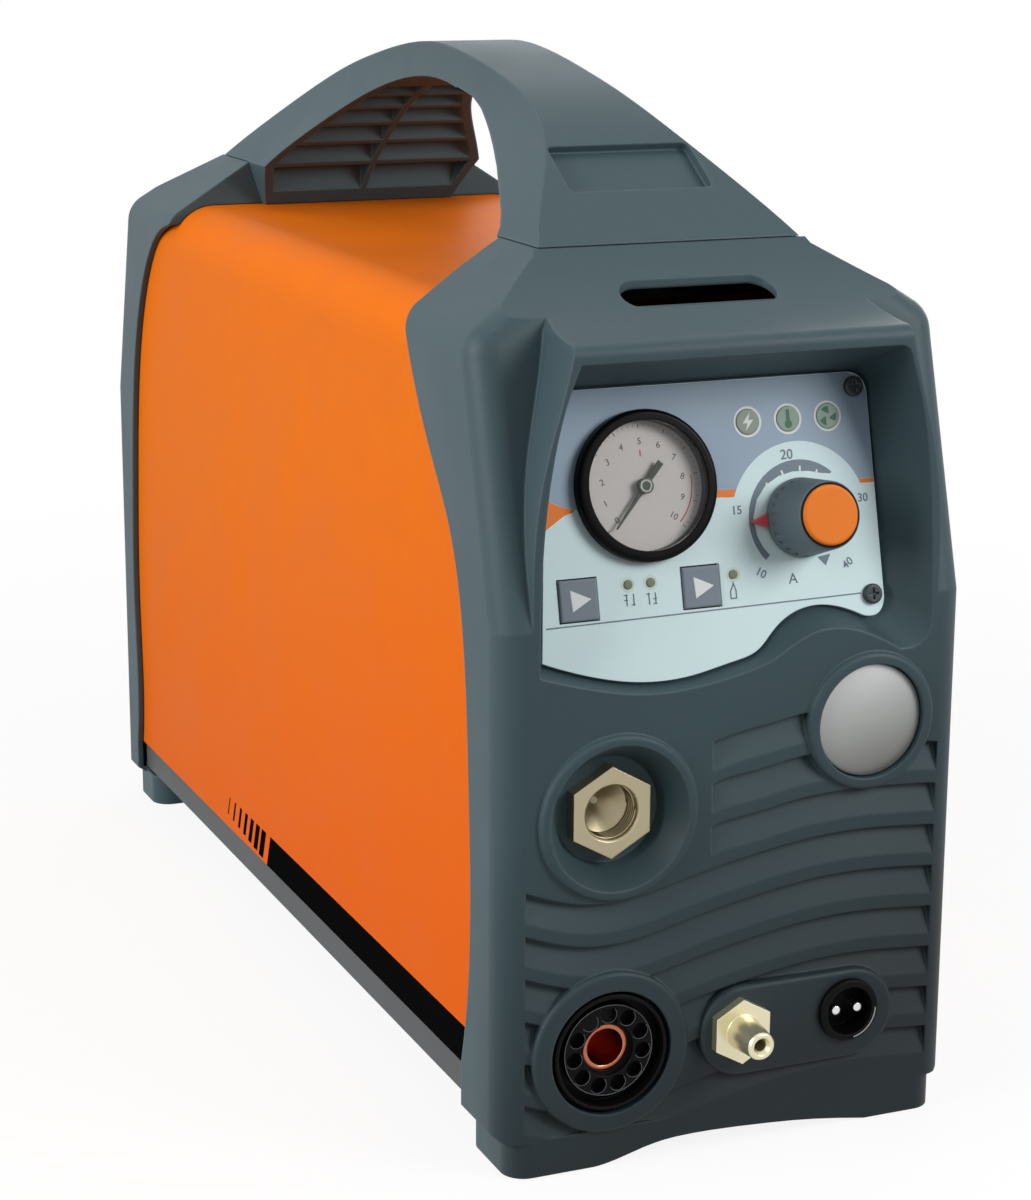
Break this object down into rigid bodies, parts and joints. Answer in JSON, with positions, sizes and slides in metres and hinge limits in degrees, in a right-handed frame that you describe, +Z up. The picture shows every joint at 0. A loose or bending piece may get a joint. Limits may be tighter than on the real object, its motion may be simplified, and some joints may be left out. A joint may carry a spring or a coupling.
{
  "type": "plasma cutter unit",
  "caption": "Portable air plasma cutting power source: tall narrow case with moulded end bezels, arched carrying handle, tilted panel with air gauge and current knob, and front connectors.",
  "frame": {"origin": "centre of the overall box on the floor, under the middle of the case", "axes": "+X to the right seen from the front, -Y out of the front panel, +Z up"},
  "size_m": [0.168, 0.493, 0.3532],
  "materials": {
    "grey_moulding": "fine grained",
    "orange_paint": "satin powder coat",
    "dark_paint": "satin powder coat",
    "panel_print": "satin print",
    "black_plastic": "gloss",
    "dial_print": "printed",
    "window": "clear",
    "brass": "turned",
    "needle_black": "matt",
    "knob_grey": "ribbed",
    "knob_orange": "gloss",
    "pointer_red": "gloss",
    "key_grey": "fine grained",
    "lamp_window": "translucent",
    "lamp_green": "translucent",
    "screw_black": "blackened",
    "zinc": "zinc plated",
    "contact_metal": "plated",
    "badge_silver": "satin",
    "socket_black": "moulded",
    "board_green": "lacquered",
    "part_black": "moulded",
    "heatsink_alu": "extruded",
    "ferrite": "sintered",
    "winding": "taped",
    "air_line": "flexible tube"
  },
  "bodies": {
    "case": {"front_bezel": "grey_moulding", "rear_bezel": "grey_moulding", "handle": "grey_moulding", "cover": "orange_paint", "base_tray": "dark_paint", "case_screws": "screw_black", "control_panel": "panel_print", "panel_screws": "screw_black", "gauge_case": "black_plastic", "gauge_dial": "dial_print", "gauge_lens": "window", "gauge_movement": "brass", "gauge_stem": "brass", "potentiometer": "zinc", "key_switches": "part_black", "panel_lamps": "lamp_window", "pilot_lamps": "lamp_green", "lamp_leds": "lamp_green", "control_board": "board_green", "board_standoffs": "brass", "torch_outlet": "brass", "front_lock_nuts": "brass", "earth_socket": "socket_black", "earth_contact": "brass", "pilot_fitting": "brass", "trigger_socket": "socket_black", "trigger_pins": "contact_metal", "badge": "badge_silver", "rear_panel": "dark_paint", "fan_frame": "part_black", "fan_guard": "zinc", "fan_screws": "screw_black", "mains_switch": "part_black", "cable_gland": "part_black", "gland_cap": "part_black", "air_inlet": "brass", "rear_lock_nuts": "zinc", "solenoid_valve": "part_black", "air_regulator": "heatsink_alu", "air_tube": "air_line", "gauge_tube": "air_line", "heatsinks": "heatsink_alu", "insulating_posts": "part_black", "power_modules": "part_black", "power_board": "board_green", "bus_capacitors": "part_black", "transformer_core": "ferrite", "transformer_winding": "winding", "output_choke": "ferrite", "bulkhead": "zinc"},
    "needle": {"gauge_needle": "needle_black"},
    "knob": {"current_knob": "knob_grey", "knob_cap": "knob_orange", "knob_pointer": "pointer_red", "pot_shaft": "zinc"},
    "mode_button": {"mode_key": "key_grey"},
    "air_test_button": {"air_test_key": "key_grey"},
    "fan": {"fan_rotor": "part_black"},
    "rocker": {"mains_rocker": "black_plastic"}
  },
  "joints": [
    {"name": "gauge_needle_turn", "type": "hinge", "parent": "case", "child": "needle", "pos_m": [-0.0259, -0.20683, 0.22405], "axis": [0, 0.9703, -0.2419], "range_deg": [0, 270], "stiffness_Nm_per_rad": 0.0002, "springref_deg": -5.73},
    {"name": "current_knob_turn", "type": "hinge", "parent": "case", "child": "knob", "pos_m": [0.0297, -0.21036, 0.20989], "axis": [0, 0.9703, -0.2419], "range_deg": [-45, 225]},
    {"name": "mode_key_press", "type": "slide", "parent": "case", "child": "mode_button", "axis": [0, 0.9703, -0.2419], "range_m": [0, 0.0012], "stiffness_N_per_m": 400, "springref_m": -0.001},
    {"name": "air_test_key_press", "type": "slide", "parent": "case", "child": "air_test_button", "axis": [0, 0.9703, -0.2419], "range_m": [0, 0.0012], "stiffness_N_per_m": 400, "springref_m": -0.001},
    {"name": "fan_spin", "type": "hinge", "parent": "case", "child": "fan", "pos_m": [0, 0.2025, 0.084], "axis": [0, 1, 0], "continuous": true},
    {"name": "mains_switch_rock", "type": "hinge", "parent": "case", "child": "rocker", "pos_m": [-0.04, 0.2117, 0.161], "axis": [1, 0, 0], "range_deg": [0, 16]}
  ]
}
